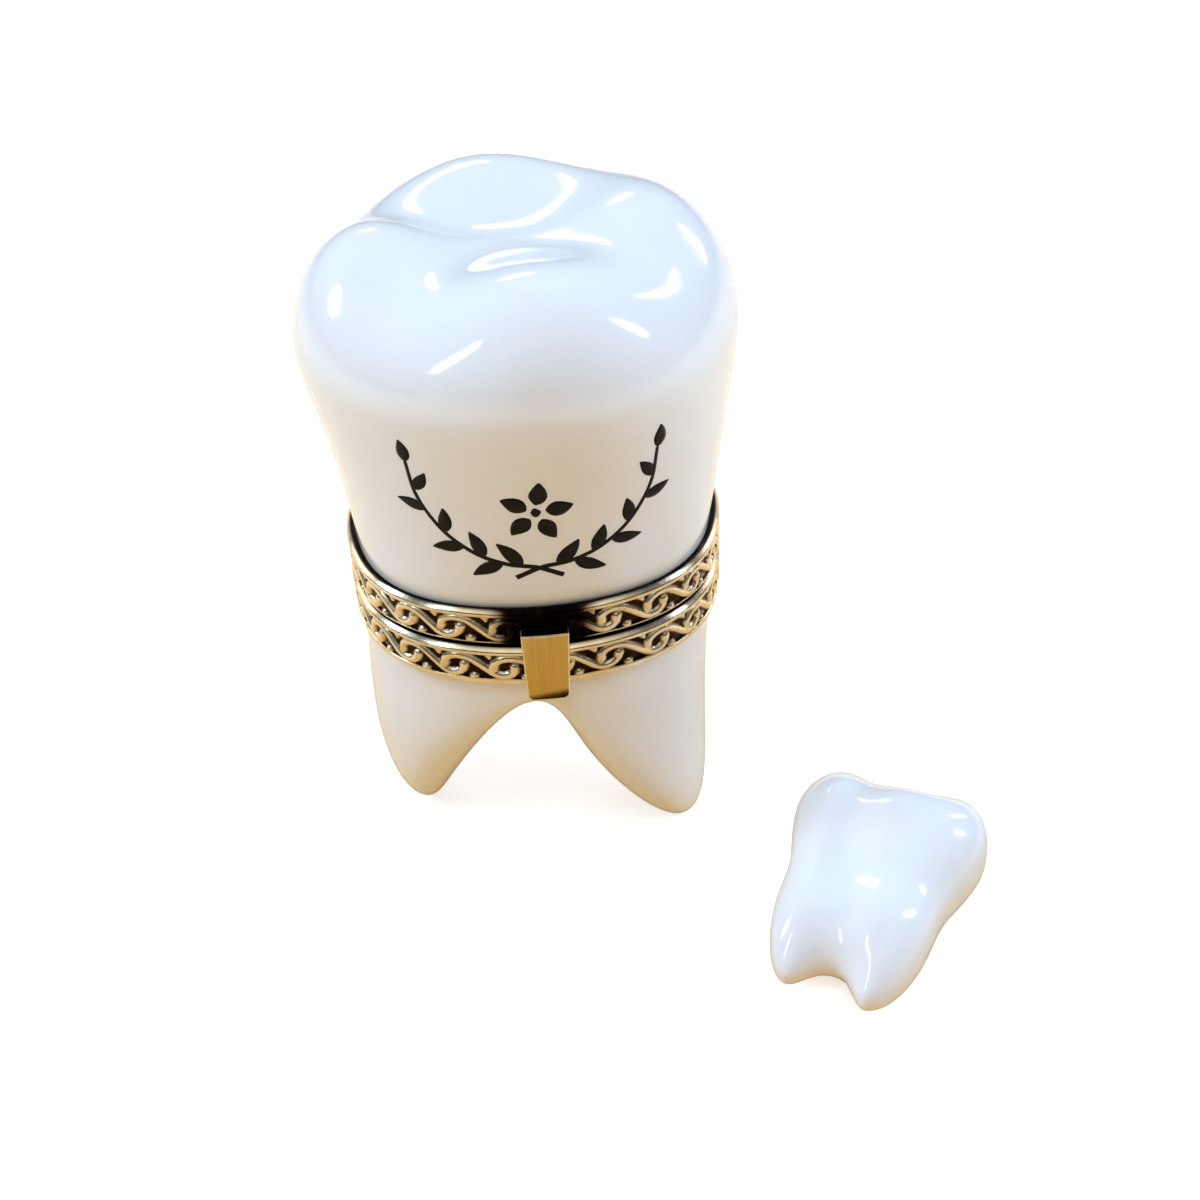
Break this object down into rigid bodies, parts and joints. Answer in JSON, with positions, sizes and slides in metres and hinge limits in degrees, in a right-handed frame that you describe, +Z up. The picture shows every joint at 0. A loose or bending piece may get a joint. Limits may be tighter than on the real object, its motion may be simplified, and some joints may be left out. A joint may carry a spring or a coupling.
{
  "type": "baby tooth box",
  "caption": "Hinged porcelain keepsake box in the form of a molar, with scrolled brass collars, a front clasp tongue and a small loose porcelain tooth to keep inside.",
  "frame": {"origin": "on the table, under the axis of the collars, level with the flats of the root tips", "axes": "+Z up, the clasp faces -Y and the hinge is at +Y, with the loose tooth at +X and -Y"},
  "size_m": [0.0552, 0.057, 0.058],
  "materials": {
    "porcelain": "white gloss glaze",
    "brass": "polished and lightly aged",
    "scrolled_brass": "stamped, dark in the hollows"
  },
  "bodies": {
    "base": {"root_base": "porcelain", "base_collar": "brass", "base_gallery": "scrolled_brass", "base_hinge_leaf": "brass", "hinge_pin": "brass", "catch_bead": "brass"},
    "lid": {"crown_lid": "porcelain", "lid_collar": "brass", "lid_gallery": "scrolled_brass", "lid_hinge_leaf": "brass", "clasp_tongue": "brass"},
    "loose_tooth": {"baby_tooth": "porcelain"}
  },
  "joints": [
    {"name": "lid_hinge", "type": "hinge", "parent": "base", "child": "lid", "pos_m": [0, 0.01816, 0.0264], "axis": [-1, 0, 0], "range_deg": [0, 105]},
    {"name": "tooth_lift", "type": "slide", "parent": "base", "child": "loose_tooth", "axis": [0, 0, 1], "range_m": [0, 0.06]}
  ]
}
